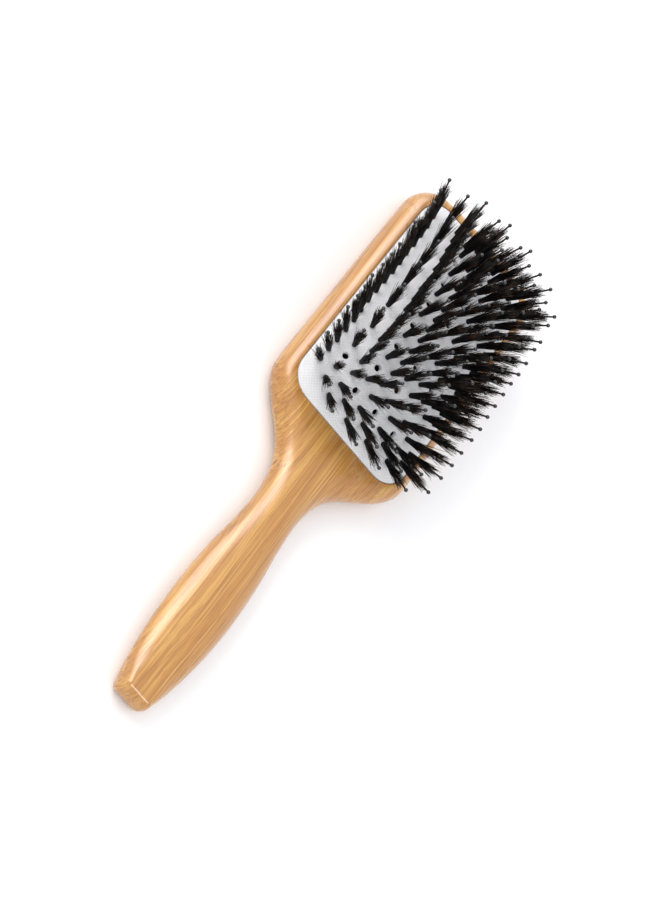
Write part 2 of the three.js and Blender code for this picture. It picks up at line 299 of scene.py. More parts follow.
def softMottleGroup():
    # broad soft patches, and a fine even grain
    tree, given, result = startGroup(
        "softMottle",
        [("Point", "NodeSocketVector", None), ("Patches", "NodeSocketFloat", 60.0),
         ("Grain", "NodeSocketFloat", 2500.0)],
        [("Patch", "NodeSocketFloat"), ("Fine", "NodeSocketFloat")],
    )
    broad = addNode(tree, "ShaderNodeTexNoise",
                    {"Vector": given["Point"], "Scale": given["Patches"], "Detail": 3.0})
    fine = addNode(tree, "ShaderNodeTexNoise",
                   {"Vector": given["Point"], "Scale": given["Grain"], "Detail": 1.0})
    tree.links.new(ramp(tree, broad.outputs["Fac"], 0.3, 0.7), result["Patch"])
    tree.links.new(fine.outputs["Fac"], result["Fine"])
    return tree


fibreLines = fibreLinesGroup()
softMottle = softMottleGroup()
addStudio(studio)
print("studio ready")

# the cushion's surface, which the tufts stand on too (sizes in millimetres)
cushionShape = {
    "width": 57.0,
    "length": 100.6,
    "corner": 10.0,
    "height": 12.5,
    "fullnessAcross": 2.4,
    "fullnessAlong": 2.6,
    "sideTaper": 0.00065,
    "rubber": 1.6,
}


def taperAt(y):
    return 1 - cushionShape["sideTaper"] * y


def cushionHalfWidth(y):
    # half the width of the visible rubber at a place along it, rounded at the corners
    c = cushionShape
    into = np.clip(np.abs(y) - (c["length"] / 2 - c["corner"]), 0, c["corner"])
    return (c["width"] / 2 - c["corner"] + np.sqrt(c["corner"] ** 2 - into ** 2)) * taperAt(y)


def domeHeight(x, y):
    c = cushionShape
    across = np.clip(np.abs(x) / cushionHalfWidth(y), 0, 1)
    along = np.clip(np.abs(y) / (c["length"] / 2), 0, 1)
    return c["height"] * (1 - across ** c["fullnessAcross"]) * (1 - along ** c["fullnessAlong"])


# the tuft pattern
tuftPattern = {
    "columns": 10,
    "rows": 17,
    "marginAcross": 4.2,
    "marginAlong": 4.7,
    "edgeRowShrink": 0.08,
    "rings": ("outer", "second", "third", "fourth", "centre"),
    "ringsWithEnds": 3,
    "leanAcross": (0.35, 0.65),
    "leanAlong": (0.35, 0.45),
    "placeSlip": 0.16,  # how far a hole strays from its place
    "leanSlip": 0.03,
    "combedFrom": (0.55, 0.85),  # the rows nearest the handle lie over a little, as shares of the half length
    "combedAcross": 0.32,
    "combedAlong": -0.3,
    "seed": 11,
}


def tuftPlaces(p):
    places = []
    rng = np.random.default_rng(p["seed"])
    columnPitch = (cushionShape["width"] - 2 * p["marginAcross"]) / (p["columns"] - 1)
    rowPitch = (cushionShape["length"] - 2 * p["marginAlong"]) / (p["rows"] - 1)
    halfRows = (p["rows"] - 1) / 2
    middle = (p["columns"] + 1) / 2
    for column in range(1, p["columns"] + 1):
        odd = column % 2 == 1
        reach = halfRows if odd else halfRows - 0.5
        fromSide = min(column - 1, p["columns"] - column)
        for step in range(int(2 * reach) + 1):
            row = step - reach
            if column == 1 and step == 0:
                continue  # no room in the rounded corner
            fromEnd = math.floor(halfRows - abs(row))
            endRing = fromEnd if fromEnd < p["ringsWithEnds"] else len(p["rings"]) - 1
            ring = min(fromSide, endRing)
            vent = not odd and ring > 0 and step % 2 == (0 if column == 2 else 1)
            if fromSide <= endRing:
                side = "left" if column < middle else "right"
            else:
                side = "near" if row < 0 else "far"
            edgeShare = (column - middle) / (middle - 1)
            y = row * rowPitch * (1 - p["edgeRowShrink"] * edgeShare ** 2)
            x = (column - middle) * columnPitch * taperAt(y)
            slip = rng.normal(0, p["placeSlip"], 2)
            places.append({
                "run": (p["rings"][ring], side),
                "vent": vent,
                "x": x + slip[0],
                "y": y + slip[1],
                "lean": leanAt(x, y, rng, p),
            })
    return places


def leanAt(x, y, rng, p):
    across = x / (cushionShape["width"] / 2)
    along = y / (cushionShape["length"] / 2)
    slip = rng.normal(0, p["leanSlip"], 2)
    combed = float(smoothstep(-along, *p["combedFrom"])) * (1 - across ** 4)
    lean = Vector((
        p["leanAcross"][0] * across + p["leanAcross"][1] * across ** 3 + combed * p["combedAcross"] + slip[0],
        p["leanAlong"][0] * along + p["leanAlong"][1] * along ** 3 + combed * p["combedAlong"] + slip[1],
        1,
    ))
    return lean.normalized()


def footOf(place):
    height = float(domeHeight(place["x"], place["y"]))
    return Vector((place["x"] * mm, cushionY + place["y"] * mm, faceZ + height * mm))


places = tuftPlaces(tuftPattern)
ventCount = sum(place["vent"] for place in places)
print("tuft places:", len(places) - ventCount, "tufts and", ventCount, "vents")

# the air cushion
cushionLook = {
    "cellsAcross": 150,
    "cellsAlong": 250,
    "crowdAcross": 0.35,  # how much closer the cells lie toward the rim
    "crowdAlong": 0.25,
    "edgeFade": 1.5,  # mm of height over which dimples and swell come in from the rim
    "dimple": 0.6,  # depth of the pull round a tuft, mm
    "dimpleRadius": 1.9,
    "dimpleSharpness": 1.3,
    "ventDimple": 0.22,
    "swell": 0.22,  # slow unevenness of the cloth, mm
    "ventRadius": 1.25,
    "ventSides": 18,
    # millimetres along a vent from the rubber's face, and share of its radius
    "ventProfile": ((-3.6, 1.0), (-0.5, 1.0), (-0.1, 1.12), (1.2, 1.9)),
    "creaseAngle": 50,
    "skirtDrop": 1.2,  # how far the dome runs down inside the rim
    "weavePitch": 0.8,
    "threadDepth": 0.09,
    "clothPale": (0.96, 0.955, 0.95, 1),
    "clothDull": (0.90, 0.895, 0.89, 1),
    # painted shade in the weave's hollows between the threads
    "weaveHollowShade": (0.74, 0.735, 0.735, 1),
}


def cushionSurface(look):
    across = np.linspace(-1, 1, look["cellsAcross"] + 1)
    along = np.linspace(-1, 1, look["cellsAlong"] + 1)
    crowdX, crowdY = look["crowdAcross"], look["crowdAlong"]
    u, v = np.meshgrid(np.sin(across * math.pi / 2) * crowdX + across * (1 - crowdX),
                       np.sin(along * math.pi / 2) * crowdY + along * (1 - crowdY))
    y = v * cushionShape["length"] / 2
    x = u * cushionHalfWidth(y)
    z = domeHeight(x, y)
    edge = np.clip(z / look["edgeFade"], 0, 1)
    spread = look["dimpleRadius"] / look["dimpleSharpness"]
    for place in places:
        away2 = (x - place["x"]) ** 2 + (y - place["y"]) ** 2
        depth = look["ventDimple"] if place["vent"] else look["dimple"]
        z = z - edge * depth * np.exp(-away2 / spread ** 2)
    swell = np.sin(x * 0.31 + 1.3 * np.sin(y * 0.11)) * np.sin(y * 0.23 + 0.9 * np.sin(x * 0.17))
    z = z + edge * look["swell"] * swell
    return x, y, z


def addCushion(look, material):
    x, y, z = cushionSurface(look)
    rows, columns = x.shape
    top = np.stack([x, y, z], -1).reshape(-1, 3)
    rubber = cushionShape["rubber"]
    insideX = 1 - rubber / (cushionShape["width"] / 2)
    insideY = 1 - rubber / (cushionShape["length"] / 2)
    under = np.stack([x * insideX, y * insideY, z - rubber], -1).reshape(-1, 3)
    faces = ringFaces(rows, columns, closed=False)
    count = rows * columns
    faces += [tuple(count + k for k in reversed(face)) for face in faces]
    loop = list(range(columns))  # round the rim
    loop += [j * columns + columns - 1 for j in range(1, rows)]
    loop += [(rows - 1) * columns + i for i in range(columns - 2, -1, -1)]
    loop += [j * columns for j in range(rows - 2, 0, -1)]
    skirt = top[loop] - np.array([0, 0, look["skirtDrop"]])
    lip = under[loop].copy()
    lip[:, 2] = -look["skirtDrop"]
    points = np.concatenate([top, under, skirt, lip])
    size = len(loop)
    for k in range(size):
        n = (k + 1) % size
        skirtA, skirtB = 2 * count + k, 2 * count + n
        lipA, lipB = skirtA + size, skirtB + size
        faces.append((loop[k], skirtA, skirtB, loop[n]))
        faces.append((skirtA, lipA, lipB, skirtB))
        faces.append((lipA, count + loop[k], count + loop[n], lipB))
    points = points * mm + np.array([0, cushionY, faceZ])
    cushion = meshObject("airCushion", points, faces)
    facesOut(cushion)
    cutAway(cushion, ventCutter(look))
    facesOut(cushion, weld=cutWeld)
    smoothBelow(cushion, look["creaseAngle"])
    cushion.data.materials.clear()
    cushion.data.materials.append(material)
    return cushion


def ventCutter(look):
    sides, rings = look["ventSides"], len(look["ventProfile"])
    points, faces = [], []
    for place in places:
        if not place["vent"]:
            continue
        turn = Vector((0, 0, 1)).rotation_difference(place["lean"]).to_matrix()
        start = len(points)
        for distance, radius in look["ventProfile"]:
            for k in range(sides):
                angle = 2 * math.pi * k / sides
                wide = look["ventRadius"] * radius
                local = Vector((wide * math.cos(angle), wide * math.sin(angle), distance))
                points.append(footOf(place) + turn @ local * mm)
        faces += [tuple(start + k for k in face) for face in ringFaces(rings, sides)]
        faces.append(tuple(start + k for k in reversed(range(sides))))
        faces.append(tuple(start + (rings - 1) * sides + k for k in range(sides)))
    cutter = meshObject("ventCutter", points, faces)
    facesOut(cutter)
    return cutter


def wovenRubber(look):
    material = bpy.data.materials.new("wovenRubber")
    material.use_nodes = True
    tree = material.node_tree
    shader = tree.nodes["Principled BSDF"]
    point = addNode(tree, "ShaderNodeTexCoord").outputs["Object"]
    mottle = useGroup(tree, softMottle, {"Point": point, "Patches": 90.0, "Grain": 3000.0})
    parts = addNode(tree, "ShaderNodeSeparateXYZ", {0: point}).outputs
    turns = 2 * math.pi / (look["weavePitch"] * mm)
    warp = calculate(tree, "SINE", calculate(tree, "MULTIPLY", parts["X"], turns))
    weft = calculate(tree, "SINE", calculate(tree, "MULTIPLY", parts["Y"], turns))
    threads = calculate(tree, "ADD", calculate(tree, "MULTIPLY", warp, weft), mottle["Fine"])
    cloth = blendColours(tree, mottle["Patch"], look["clothDull"], look["clothPale"])
    # painted shade: the low parts of the weave take the darker colour
    gap = ramp(tree, threads, -0.3, 0.7)
    tree.links.new(blendColours(tree, gap, look["weaveHollowShade"], cloth), shader.inputs["Base Color"])
    tree.links.new(ramp(tree, mottle["Fine"], 0.2, 0.8, 0.62, 0.85), shader.inputs["Roughness"])
    depth = look["threadDepth"] * mm
    bump = addNode(tree, "ShaderNodeBump", {"Height": threads, "Strength": 0.8, "Distance": depth})
    tree.links.new(bump.outputs[0], shader.inputs["Normal"])
    shader.inputs["Sheen Weight"].default_value = 0.15
    shader.inputs["Specular IOR Level"].default_value = 0.35
    return material


rubberCloth = wovenRubber(cushionLook)
cushion = addCushion(cushionLook, rubberCloth)
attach(cushion, "root")
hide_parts("air_cushion")
print("cushion:", len(cushion.data.polygons), "faces")

# the bead that the cushion snaps into the groove with
beadShape = {
    "above": 0.9,
    "below": 3.3,
    "outward": 1.2,
    "inward": 1.6,
    "round": 0.35,
    "stepIn": 0.3,
    "stepDown": 0.6,
    "creaseAngle": 50,
}


def cushionOutline(offset, cornerSteps=12):
    c = cushionShape
    halfWidth = c["width"] / 2 + offset
    halfLength = c["length"] / 2 + offset
    radius = c["corner"] + offset
    points = []
    for sx, sy, start in ((1, -1, -90), (1, 1, 0), (-1, 1, 90), (-1, -1, 180)):
        for k in range(cornerSteps + 1):
            angle = math.radians(start + 90 * k / cornerSteps)
            x = sx * (halfWidth - radius) + radius * math.cos(angle)
            y = sy * (halfLength - radius) + radius * math.sin(angle)
            points.append((x * taperAt(y), y))
    return points


def ringAtOutline(offset, z):
    return [(x * mm, cushionY + y * mm, faceZ + z * mm) for x, y in cushionOutline(offset)]


def addBead(shape, material):
    top, bottom, rounding = -shape["above"], -shape["below"], shape["round"]
    inner, outer = -shape["inward"], shape["outward"]
    step, ledge = -shape["stepIn"], top - shape["stepDown"]
    section = [
        (inner, top), (step, top), (step, ledge), (outer - rounding, ledge), (outer, ledge - rounding),
        (outer, bottom + rounding), (outer - rounding, bottom), (inner, bottom),
    ]
    points = [p for offset, z in section for p in ringAtOutline(offset, z)]
    count = len(cushionOutline(0))
    faces = ringFaces(len(section), count)
    last = (len(section) - 1) * count
    faces += [(last + i, last + (i + 1) % count, (i + 1) % count, i) for i in range(count)]
    bead = meshObject("cushionBead", points, faces)
    facesOut(bead)
    smoothBelow(bead, shape["creaseAngle"])
    bead.data.materials.append(material)
    return bead


bead = addBead(beadShape, rubberCloth)
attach(bead, "root")
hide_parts("air_cushion")
print("bead made")

# the bamboo paddle
paddleShape = {
    "rimBeside": 5.0,
    "rimBeyond": 6.7,
    "edgeRound": 5.0,
    "farCorner": 13.0,
    "farBow": 1.4,
    "shoulderInset": 10.3,
    "neckWidth": 19.0,
    "neckBeyond": 35.7,
    "gripWidth": 26.0,
    "gripBeyondNeck": 52.0,
    "gripThickness": 14.5,
    "endWidth": 15.0,
    "endThickness": 11.0,
    "endCorner": 3.0,
    "endRound": 2.9,
    "endBlend": 16.0,
    "roundShare": 0.8,
    "floorThickness": 4.5,
    "grooveTop": 1.2,
    "grooveFloor": 3.6,
    "grooveDepth": 1.8,
    "fitGap": 0.3,
    "rimRound": 0.45,
    "cutAbove": 6.0,  # how far the recess's cutter stands above the wood
    "outlineSteps": 14,
    "edgeSteps": 22,
    "faceCells": 20,
    "endCornerSteps": 8,
    "farCornerTurn": 83.7,  # degrees the far corner turns before the bowed end takes over
    "bowPull": 0.6,
    "creaseAngle": 38,
    # knots of the outline: share of the way along, and width as a share of the grip's, neck's or shoulder's
    "endToGrip": ((0.2, 0.76), (0.57, 0.932), (1, 1)),
    "gripToNeck": ((0.385, 0.94),),
    "towardNeck": ((0.71, 1.08), (1, 1)),
    "pastNeck": ((0.26, 1.24),),
    "toShoulder": ((0.426, 0.48), (0.565, 0.67), (0.707, 0.86), (0.848, 0.976), (1, 1)),
}


def throughPoints(points, steps):
    # an even curve through points, the way a spline batten lies
    curve = []
    count = len(points)
    for i in range(count - 1):
        before, here = points[max(i - 1, 0)], points[i]
        there, after = points[i + 1], points[min(i + 2, count - 1)]
        for k in range(steps):
            t = k / steps
            curve.append(tuple(
                0.5 * (2 * b + (c - a) * t
                       + (2 * a - 5 * b + 4 * c - d) * t ** 2
                       + (3 * b - a - 3 * c + d) * t ** 3)
                for a, b, c, d in zip(before, here, there, after)
            ))
    return curve + [points[-1]]


def arc(cx, cy, radius, start, end, steps):
    angles = np.radians(np.linspace(start, end, steps + 1))
    return [(cx + radius * math.cos(a), cy + radius * math.sin(a)) for a in angles]


def paddlePlaces(p):
    farEnd = p["rimBeyond"] + cushionShape["length"] / 2
    near = -cushionShape["length"] / 2
    neck = near - p["neckBeyond"]
    return {
        "farEnd": farEnd,
        "near": near,
        "shoulder": near + p["shoulderInset"],
        "neck": neck,
        "grip": neck - p["gripBeyondNeck"],
        "end": (handleEndY - cushionY) / mm,
    }


def headHalfWidth(y, p):
    return cushionShape["width"] / 2 * taperAt(y) + p["rimBeside"]


def paddleSide(p):
    # one side of the outline, in millimetres from the cushion's middle, handle end to far end
    at = paddlePlaces(p)
    shoulderHalf, gripHalf = headHalfWidth(at["shoulder"], p), p["gripWidth"] / 2
    neckHalf, endHalf = p["neckWidth"] / 2, p["endWidth"] / 2
    start = at["end"] + p["endCorner"]
    knots = [(endHalf, start)]
    for stretch, halfWidth, low, high in (
        ("endToGrip", gripHalf, start, at["grip"]),
        ("gripToNeck", gripHalf, at["grip"], at["neck"]),
        ("towardNeck", neckHalf, at["grip"], at["neck"]),
        ("pastNeck", neckHalf, at["neck"], at["shoulder"]),
        ("toShoulder", shoulderHalf, at["neck"], at["shoulder"]),
    ):
        knots += [(halfWidth * width, mix(low, high, share)) for share, width in p[stretch]]
    handle = throughPoints(knots, p["outlineSteps"])
    cornerY = at["farEnd"] - p["farBow"] - p["farCorner"]
    sideX = headHalfWidth(cornerY, p)
    steps = p["outlineSteps"]
    side = [(mix(shoulderHalf, sideX, k / steps), mix(at["shoulder"], cornerY, k / steps))
            for k in range(1, steps)]
    farCorner = arc(sideX - p["farCorner"], cornerY, p["farCorner"], 0, p["farCornerTurn"], steps)
    (bx, by), top = farCorner[-1], at["farEnd"]
    bow = [((1 - t) ** 2 * bx + 2 * t * (1 - t) * bx * p["bowPull"],
            (1 - t) ** 2 * by + (1 - (1 - t) ** 2) * top)
           for t in np.linspace(0, 1, steps + 1)[1:]]
    endCorner = arc(endHalf - p["endCorner"], start, p["endCorner"], -90, 0, p["endCornerSteps"])
    return endCorner + handle[1:] + side + farCorner + bow


def paddleThickness(y, p, at):
    towardEnd = mix(p["endThickness"], p["gripThickness"], smoothstep(y, at["end"], at["grip"]))
    towardHead = mix(p["gripThickness"], faceZ / mm, smoothstep(y, at["grip"], at["near"]))
    return np.where(y < at["grip"], towardEnd, towardHead)


def addPaddle(p, material):
    at = paddlePlaces(p)
    right = np.array(paddleSide(p))
    half = len(right)
    mirrored = right[:-1][::-1] * np.array([-1, 1])
    outline = np.concatenate([right, mirrored])
    count = len(outline)
    along = np.roll(outline, -1, 0) - np.roll(outline, 1, 0)
    along /= np.linalg.norm(along, axis=1, keepdims=True)
    inward = np.stack([-along[:, 1], along[:, 0]], 1)
    x, y = outline[:, 0], outline[:, 1]
    onHandle = 1 - smoothstep(y, at["neck"], at["near"])
    edgeRound = mix(p["edgeRound"], np.abs(x) * p["roundShare"], onHandle)
    edgeRound = mix(p["endRound"], edgeRound,
                    smoothstep(y, at["end"] + p["endCorner"], at["end"] + p["endBlend"]))
    thickness = paddleThickness(y, p, at)
    points = []
    angles = np.radians(np.linspace(-90, 90, p["edgeSteps"] + 1))
    for angle in angles:
        ring = outline + inward * (edgeRound * (1 - math.cos(angle)))[:, None]
        # where the outline bends tighter than the rounding, its points stop instead of folding back
        for i in range(1, half):
            if ring[i, 1] <= ring[i - 1, 1]:
                ring[i] = ring[i - 1]
        ring[half:] = ring[:half - 1][::-1] * np.array([-1, 1])
        z = thickness / 2 * (1 + math.sin(angle))
        points.append(np.column_stack([ring, z]))
    faces = ringFaces(len(angles), count)
    # the two broad faces are rows of cells from side to side
    for which, flip in ((0, True), (len(angles) - 1, False)):
        start = sum(len(block) for block in points)
        ring = points[which]
        cells = p["faceCells"]
        shares = np.linspace(0, 1, cells + 1)
        rightSide = ring[:half]
        leftSide = np.concatenate([ring[half:][::-1], ring[half - 1:half]])
        rows = rightSide[:, None] * (1 - shares)[None, :, None] + leftSide[:, None] * shares[None, :, None]
        points.append(rows.reshape(-1, 3))
        block = ringFaces(half, cells + 1, closed=False)[cells:]
        block.append((0, cells, *range(2 * cells + 1, cells, -1)))  # the end edge is one straight piece
        faces += [tuple(start + k for k in (face if flip else face[::-1])) for face in block]
    points = np.concatenate(points) * mm + np.array([0, cushionY, 0])
    paddle = meshObject("bambooPaddle", points, faces)
    facesOut(paddle, weld=cutWeld)
    cutAway(paddle, recessCutter(p))
    facesOut(paddle, weld=cutWeld)
    smoothBelow(paddle, p["creaseAngle"])
    paddle.data.materials.clear()
    paddle.data.materials.append(material)
    return paddle


def recessCutter(p):
    gap, rounding = p["fitGap"], p["rimRound"]
    section = [
        (gap, p["floorThickness"] - faceZ / mm),
        (gap, -p["grooveFloor"]),
        (p["grooveDepth"], -p["grooveFloor"]),
        (p["grooveDepth"], -p["grooveTop"]),
        (gap, -p["grooveTop"]),
    ]
    for k in range(5):
        angle = math.radians(90 * k / 4)
        section.append((gap + rounding * (1 - math.cos(angle)), rounding * (math.sin(angle) - 1)))
    section.append((gap + rounding, p["cutAbove"]))
    points = [point for offset, z in section for point in ringAtOutline(offset, z)]
    count = len(cushionOutline(0))
    faces = ringFaces(len(section), count)
    faces.append(tuple(reversed(range(count))))
    last = (len(section) - 1) * count
    faces.append(tuple(range(last, last + count)))
    cutter = meshObject("recessCutter", points, faces)
    facesOut(cutter)
    return cutter


bambooLook = {
    "stripWidth": 6.4,  # mm across one glued strip
    "pale": (0.67, 0.362, 0.09, 1),
    "deep": (0.43, 0.172, 0.024, 1),
    "fibre": (0.22, 0.07, 0.011, 1),
    "knot": (0.60, 0.32, 0.10, 1),
    "linesAcross": 2300.0,
    "linesAlong": 24.0,
    "fibres": {  # shares of linesAcross and linesAlong, and how sparse
        "fine": (1.0, 1.0, 0.49),
        "dashes": (0.8, 4.0, 0.6),
        "coarse": (0.2, 0.4, 0.44),
        "specks": (1.2, 14.0, 0.5),
    },
    "patchShare": 0.35,  # how strongly each layer colours the wood
    "stripShare": 0.55,
    "coarseShare": 0.62,
    "fineShare": 0.42,
    "dashShare": 0.4,
    "knotShare": 0.6,
    "speckShare": 0.8,
    "knotEvery": 0.21,  # metres between the growth rings of a strip
    "knotWidth": 0.0032,
    "lacquer": 0.24,  # how far its shine is blurred
    "recessPaintedShade": (0.05, 0.024, 0.009, 1),  # painted shade: darker than real wood, so that the vents read as dark holes
    "recessShadeBand": 0.0003,  # metres either side of the recess's floor that take the painted shade
}


def lacqueredBamboo(look):
    material = bpy.data.materials.new("lacqueredBamboo")
    material.use_nodes = True
    tree = material.node_tree
    shader = tree.nodes["Principled BSDF"]
    point = addNode(tree, "ShaderNodeTexCoord").outputs["Object"]
    parts = addNode(tree, "ShaderNodeSeparateXYZ", {0: point}).outputs
    wander = noise(tree, stretched(tree, point, (0, 9.0, 0)), detail=1.0)
    wavyX = calculate(tree, "ADD", parts["X"], calculate(tree, "MULTIPLY", wander, 0.004))
    strip = calculate(tree, "FLOOR", calculate(tree, "DIVIDE", wavyX, look["stripWidth"] * mm))
    stripRandom = addNode(tree, "ShaderNodeTexWhiteNoise", {"W": strip}, noise_dimensions="1D")
    tone = stripRandom.outputs["Value"]
    shift = addNode(tree, "ShaderNodeCombineXYZ", {"Y": calculate(tree, "MULTIPLY", tone, 3.0)}).outputs[0]
    onStrip = addNode(tree, "ShaderNodeVectorMath", {0: point, 1: shift}, operation="ADD").outputs["Vector"]
    lines = {
        name: useGroup(tree, fibreLines, {"Point": onStrip, "Across": look["linesAcross"] * across,
                                          "Along": look["linesAlong"] * along, "Sparseness": sparseness})
        for name, (across, along, sparseness) in look["fibres"].items()
    }
    mottle = useGroup(tree, softMottle, {"Point": stretched(tree, onStrip, (1, 0.25, 1)), "Patches": 120.0,
                                         "Grain": 1500.0})
    body = look["pale"]
    for mask, share, colour in (
        (mottle["Patch"], "patchShare", "deep"),
        (tone, "stripShare", "deep"),
        (lines["coarse"]["Lines"], "coarseShare", "deep"),
        (lines["fine"]["Lines"], "fineShare", "fibre"),
        (lines["dashes"]["Lines"], "dashShare", "fibre"),
    ):
        body = blendColours(tree, calculate(tree, "MULTIPLY", mask, look[share]), body, look[colour])
    ringPlace = calculate(tree, "ADD", calculate(tree, "DIVIDE", parts["Y"], look["knotEvery"]),
                          calculate(tree, "MULTIPLY", tone, 7.3))
    ringPhase = calculate(tree, "SUBTRACT", calculate(tree, "FRACT", ringPlace), 0.5)
    fromRing = calculate(tree, "ABSOLUTE", ringPhase)
    nearRing = ramp(tree, fromRing, 0.0, look["knotWidth"] / look["knotEvery"], 1.0, 0.0)
    body = blendColours(tree, calculate(tree, "MULTIPLY", nearRing, look["knotShare"]), body, look["knot"])
    speckled = calculate(tree, "MULTIPLY", nearRing, lines["specks"]["Lines"])
    body = blendColours(tree, calculate(tree, "MULTIPLY", speckled, look["speckShare"]), body, look["fibre"])
    # painted shade: the recess floor, seen through the vents, is darkened to stand for the shade in the holes
    normal = addNode(tree, "ShaderNodeNewGeometry").outputs["Normal"]
    facing = addNode(tree, "ShaderNodeSeparateXYZ", {0: normal})
    atFloor = calculate(tree, "COMPARE", parts["Z"], paddleShape["floorThickness"] * mm)
    atFloor.node.inputs[2].default_value = look["recessShadeBand"]
    paintedShadeOnFloor = calculate(tree, "MULTIPLY", atFloor, ramp(tree, facing.outputs["Z"], 0.6, 0.9))
    body = blendColours(tree, paintedShadeOnFloor, body, look["recessPaintedShade"])
    tree.links.new(body, shader.inputs["Base Color"])
    tree.links.new(ramp(tree, lines["fine"]["Height"], 0.3, 0.7, 0.34, 0.46), shader.inputs["Roughness"])
    bump = addNode(tree, "ShaderNodeBump",
                   {"Height": lines["fine"]["Height"], "Strength": 0.25, "Distance": 0.00004})
    tree.links.new(bump.outputs[0], shader.inputs["Normal"])
    shader.inputs["Coat Weight"].default_value = 1.0
    shader.inputs["Coat Roughness"].default_value = look["lacquer"]
    shader.inputs["Coat IOR"].default_value = 1.5
    shader.inputs["Specular IOR Level"].default_value = 0.3
    return material


paddle = addPaddle(paddleShape, lacqueredBamboo(bambooLook))
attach(paddle, "root")
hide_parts("bamboo_paddle")
print("paddle:", len(paddle.data.polygons), "faces")

# the bristle tufts
bristleLook = {
    "perTuft": 104,
    "length": 14.6,
    "shortest": 0.7,  # share of the length that the shortest bristles have
    "rootRadius": 0.88,
    "thickness": 0.29,
    "tipShare": 0.35,
    "flare": 0.04,  # how far bristles splay for each millimetre from the tuft's middle
    "stray": 0.042,
    "looseShare": 0.05,  # how many bristles stand out from their tuft
    "looseness": 2.3,
    "bend": 0.7,
    "stations": 6,
    "coreHeight": 7.0,
    "coreTaper": ((0.5, 0.86), (0.8, 0.5), (1, 0.2)),  # share of coreHeight, radius in mm
    "coreSides": 10,
    "coreTone": 0.1,
    "below": 1.6,  # how far the roots run on behind the rubber's face
    "body": (0.0045, 0.004, 0.004, 1),
    "tipDark": (0.008, 0.007, 0.006, 1),
    "tipBrown": (0.17, 0.075, 0.028, 1),
    "tipDull": (0.03, 0.018, 0.012, 1),
    "seed": 23,
}


def tuftFrames(run):
    feet = np.array([footOf(place) for place in run])
    leans = np.array([place["lean"] for place in run])
    side = np.cross(leans, (0.0, 1.0, 0.0))
    side /= np.linalg.norm(side, axis=1, keepdims=True)
    return feet, leans, side, np.cross(leans, side)


def lathed(run, profile, sides):
    # one turned form on every place of a run: profile is (distance from the foot, radius) in millimetres
    feet, leans, side, other = tuftFrames(run)
    angles = 2 * math.pi * np.arange(sides) / sides
    points, faces, heights = [], [], []
    for foot, lean, u, v in zip(feet, leans, side, other):
        start = len(points)
        for distance, radius in profile:
            for angle in angles:
                out = u * math.cos(angle) + v * math.sin(angle)
                points.append(foot + (lean * distance + out * radius) * mm)
                heights.append(distance)
        rings = len(profile)
        faces += [tuple(start + k for k in face) for face in ringFaces(rings, sides)]
        faces.append(tuple(start + k for k in reversed(range(sides))))
        faces.append(tuple(start + (rings - 1) * sides + k for k in range(sides)))
    return points, faces, heights


def bristlePoints(run, look, rng):
    feet, leans, side, other = tuftFrames(run)
    many, stations = look["perTuft"], look["stations"]
    pick = np.repeat(np.arange(len(run)), many)
    total = len(pick)
    spin = rng.uniform(0, 2 * math.pi, total)
    radial = look["rootRadius"] * np.sqrt(rng.uniform(0.05, 1, total))
    out = side[pick] * np.cos(spin)[:, None] + other[pick] * np.sin(spin)[:, None]
    loose = np.where(rng.uniform(0, 1, total) < look["looseShare"], look["looseness"], 1.0)[:, None]
    way = leans[pick] + out * (look["flare"] * radial)[:, None]
    way = way + rng.normal(0, look["stray"], (total, 3)) * loose
    way /= np.linalg.norm(way, axis=1, keepdims=True)
    length = look["length"] * rng.uniform(look["shortest"], 1.0, total) ** 0.7
    bend = rng.normal(0, look["bend"], (total, 3)) * 0.5 + out * rng.uniform(0, 0.5, total)[:, None]
    root = feet[pick] / mm + out * radial[:, None]
    u = np.cross(way, (0.3, 0.9, 0.2))
    u /= np.linalg.norm(u, axis=1, keepdims=True)
    v = np.cross(way, u)
    points, alongShare = [], []
    for s in range(stations):
        t = s / (stations - 1)
        middle = root + way * (length * t - look["below"] * (1 - t))[:, None] + bend * t ** 2
        radius = look["thickness"] / 2 * (1 - (1 - look["tipShare"]) * t)
        for k in range(3):
            angle = 2 * math.pi * k / 3
            points.append(middle + (u * math.cos(angle) + v * math.sin(angle)) * radius)
            alongShare.append(np.full(total, t))
    points = np.stack(points, 1) * mm
    alongShare = np.stack(alongShare, 1)
    tone = np.repeat(rng.uniform(0, 1, total)[:, None], stations * 3, 1)
    each = ringFaces(stations, 3) + [(2, 1, 0), tuple(3 * (stations - 1) + k for k in range(3))]
    faces = [tuple(b * stations * 3 + k for k in face) for b in range(total) for face in each]
    return points.reshape(-1, 3), faces, alongShare.ravel(), tone.ravel()


def addTuftRun(name, run, look, material, rng):
    points, faces, alongShare, tone = bristlePoints(run, look, rng)
    core = [(-look["below"], 0.8), (-0.2, 0.94), (0.4, 1.0)]  # distance from the foot and radius, mm
    core += [(look["coreHeight"] * share, radius) for share, radius in look["coreTaper"]]
    corePoints, coreFaces, coreHeights = lathed(run, core, look["coreSides"])
    start = len(points)
    allPoints = np.concatenate([points, np.array(corePoints)])
    faces = faces + [tuple(start + k for k in face) for face in coreFaces]
    piece = meshObject(name, allPoints, faces, smooth=True)
    coreShare = np.clip(np.array(coreHeights) / look["length"], 0, 1)
    coreTone = np.full(len(coreShare), look["coreTone"])
    for label, values in (("alongBristle", np.concatenate([alongShare, coreShare])),
                          ("bristleTone", np.concatenate([tone, coreTone]))):
        attribute = piece.data.attributes.new(label, "FLOAT", "POINT")
        attribute.data.foreach_set("value", values.astype(np.float32))
    piece.data.materials.append(material)
    return piece


